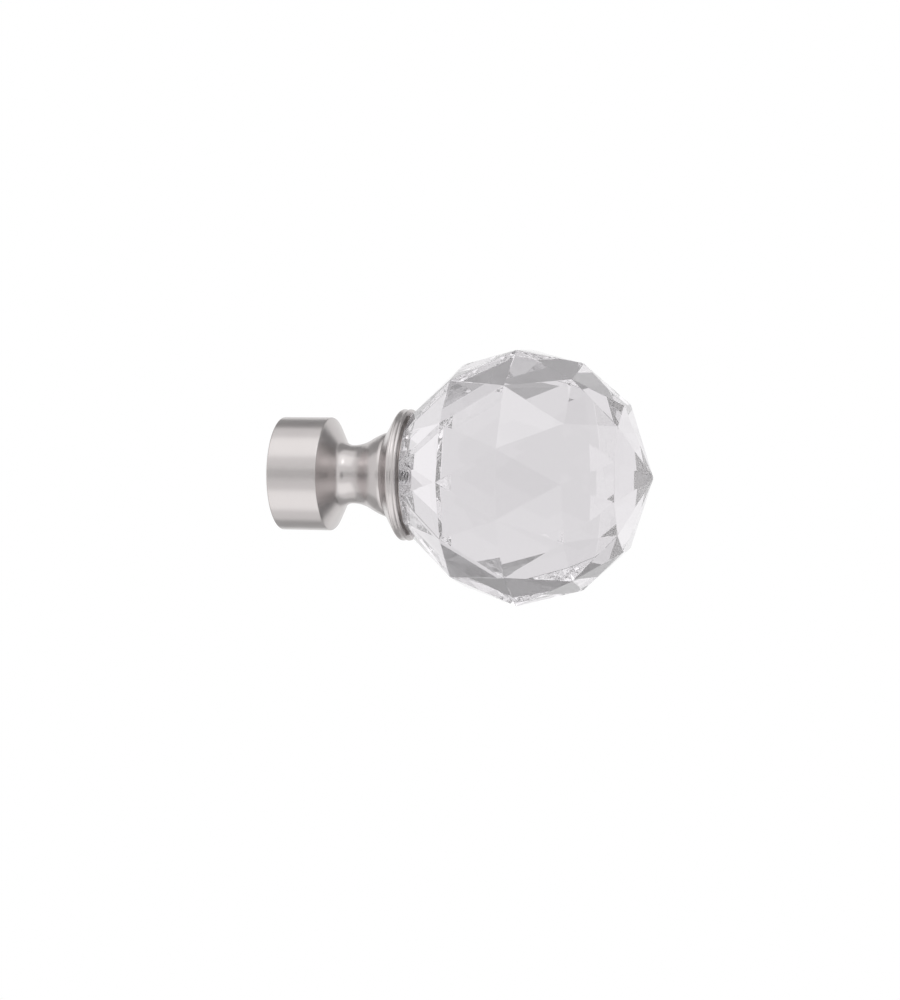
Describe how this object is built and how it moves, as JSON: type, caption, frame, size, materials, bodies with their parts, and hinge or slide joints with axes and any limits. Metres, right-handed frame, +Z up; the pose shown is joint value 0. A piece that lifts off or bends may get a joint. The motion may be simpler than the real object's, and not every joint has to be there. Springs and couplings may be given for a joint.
{
  "type": "curtain pole finial",
  "caption": "Curtain pole finial: a faceted clear crystal ball on a turned satin metal base, with a socket that slides over the pole's end.",
  "frame": {"origin": "centre of the socket's open mouth, on the pole's axis", "axes": "+X along the pole's axis, outward from the mouth to the ball's tip; +Z up; the front that the room sees is -Y"},
  "size_m": [0.0942, 0.0628, 0.0628],
  "materials": {
    "satin_nickel": "satin",
    "crystal": "polished",
    "zinc_plated_steel": "plain",
    "black_steel": "plain"
  },
  "bodies": {
    "root": {"metal_base": "satin_nickel", "crystal_ball": "crystal", "threaded_stud": "zinc_plated_steel", "grub_screw": "black_steel"}
  },
  "joints": []
}
